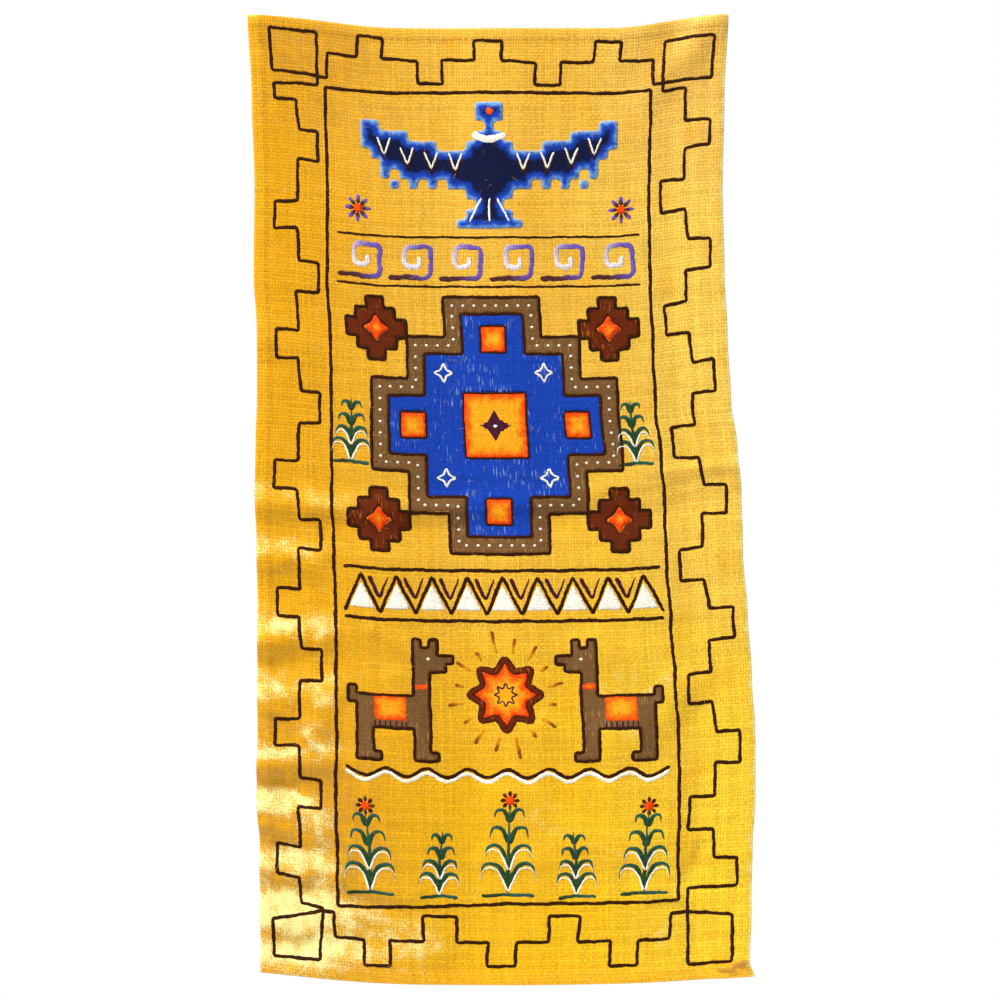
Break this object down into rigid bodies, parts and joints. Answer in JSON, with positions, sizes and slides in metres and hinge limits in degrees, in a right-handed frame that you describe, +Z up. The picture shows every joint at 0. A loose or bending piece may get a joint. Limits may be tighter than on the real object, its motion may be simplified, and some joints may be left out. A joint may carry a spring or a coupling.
{
  "type": "arpillera wall hanging",
  "caption": "Tall hemmed burlap wall hanging with a stepped line border and a painted picture field, hung by its top edge, with soft creases.",
  "frame": {"origin": "middle of the top edge, on the painted face, where the hanging is held", "axes": "+Z up along the cloth's length, +X to the right seen from the painted face, +Y to the back"},
  "size_m": [0.4775, 0.0195, 0.9126],
  "materials": {
    "burlap": "plain coarse weave, dyed yellow, slight sheen",
    "hem_thread": "matte sewing thread",
    "black_paint": "matte paint rubbed into the weave",
    "blue_paint": "matte paint rubbed into the weave",
    "brown_paint": "matte paint rubbed into the weave",
    "rust_paint": "matte paint rubbed into the weave",
    "orange_paint": "matte paint shaded from red to yellow",
    "green_paint": "matte paint in single strokes",
    "white_paint": "matte paint in single strokes",
    "violet_paint": "matte paint in single strokes",
    "plum_paint": "matte paint in single strokes",
    "ochre_paint": "thin see-through paint in single strokes"
  },
  "bodies": {
    "root": {"cloth": "burlap"}
  },
  "joints": []
}
